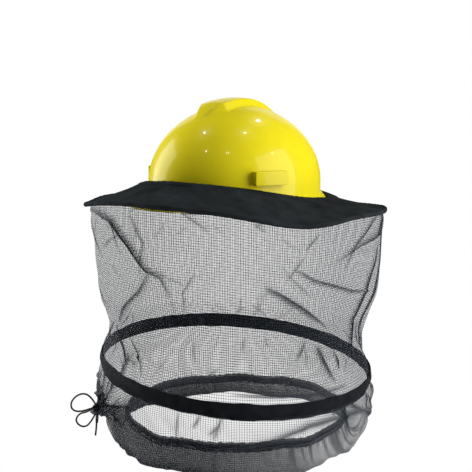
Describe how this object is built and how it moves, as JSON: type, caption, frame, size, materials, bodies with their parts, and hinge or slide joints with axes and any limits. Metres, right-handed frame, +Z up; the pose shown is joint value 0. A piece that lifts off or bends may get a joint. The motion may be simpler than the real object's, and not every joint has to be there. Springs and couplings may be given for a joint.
{
  "type": "beekeeping veil",
  "caption": "Round net veil on a stiffened fabric brim gripping a safety helmet, with a taped spring hoop and gathered hem.",
  "frame": {"origin": "centre of the head opening, level with the middle of the wire in the rim of the brim", "axes": "+Z up along the wearer's head, -Y the way the wearer faces, +X the wearer's left"},
  "size_m": [0.3927, 0.3922, 0.458],
  "materials": {
    "yellow_shell": "glossy moulded",
    "black_plastic": "fine matte",
    "soft_padding": "foam backed terry",
    "webbing": "ribbed webbing",
    "brim_cloth": "close satin weave",
    "stiffener_felt": "stiff interlining",
    "elastic": "braided elastic",
    "steel_wire": "spring steel",
    "net": "open knitted mesh",
    "seam_tape": "folded mesh and binding",
    "hoop_tape": "cotton twill tape",
    "draw_cord": "braided cord"
  },
  "bodies": {
    "helmet": {"helmet_shell": "yellow_shell", "headband": "black_plastic", "brow_sweatband": "soft_padding", "crown_strap_upper": "webbing", "crown_strap_lower": "webbing", "crown_pad": "soft_padding", "key_front_left": "black_plastic", "key_front_right": "black_plastic", "key_rear_left": "black_plastic", "key_rear_right": "black_plastic", "ratchet_housing": "black_plastic", "ratchet_cover": "black_plastic", "nape_pad": "soft_padding"},
    "knob": {"ratchet_knob": "black_plastic"},
    "rack_left": {"rack_left": "black_plastic"},
    "rack_right": {"rack_right": "black_plastic"},
    "veil": {"brim_cover": "brim_cloth", "brim_stiffener": "stiffener_felt", "brim_lining": "brim_cloth", "rim_wire": "steel_wire", "rim_binding": "brim_cloth", "elastic_casing": "brim_cloth", "elastic_band": "elastic", "upper_net": "net", "net_seam": "seam_tape"},
    "hoop": {"hoop_wire": "steel_wire", "hoop_ferrule": "steel_wire", "hoop_tape": "hoop_tape", "tape_lap": "hoop_tape", "skirt_net": "net"},
    "hem": {"hem_casing": "seam_tape", "hem_elastic": "elastic", "draw_cord": "draw_cord", "draw_leads": "draw_cord", "cord_eyelet": "steel_wire", "draw_knot": "draw_cord", "bow_upper_loop": "draw_cord", "bow_lower_loop": "draw_cord", "bow_tail_one": "draw_cord", "bow_tail_two": "draw_cord"}
  },
  "joints": [
    {"name": "veil_lift", "type": "slide", "parent": "helmet", "child": "veil", "axis": [0, 0, 1], "range_m": [0, 0.13], "deforming": ["elastic_casing", "elastic_band"]},
    {"name": "hoop_lift", "type": "slide", "parent": "veil", "child": "hoop", "axis": [0, 0, 1], "range_m": [0, 0.11], "deforming": ["upper_net", "net_seam"]},
    {"name": "hem_lift", "type": "slide", "parent": "hoop", "child": "hem", "axis": [0, 0, 1], "range_m": [0, 0.03], "deforming": ["skirt_net"]},
    {"name": "knob_turn", "type": "hinge", "parent": "helmet", "child": "knob", "pos_m": [0, 0.093, 0.009], "axis": [0, 1, 0], "range_deg": [-110, 110]},
    {"name": "rack_left_slide", "type": "slide", "parent": "helmet", "child": "rack_left", "axis": [1, 0, 0], "range_m": [-0.0116, 0.0116]},
    {"name": "rack_right_slide", "type": "slide", "parent": "helmet", "child": "rack_right", "axis": [1, 0, 0], "range_m": [-0.0116, 0.0116]}
  ],
  "couplings": [
    {"joint": "rack_left_slide", "follows": "knob_turn", "m_per_rad": 0.006},
    {"joint": "rack_right_slide", "follows": "knob_turn", "m_per_rad": -0.006}
  ]
}
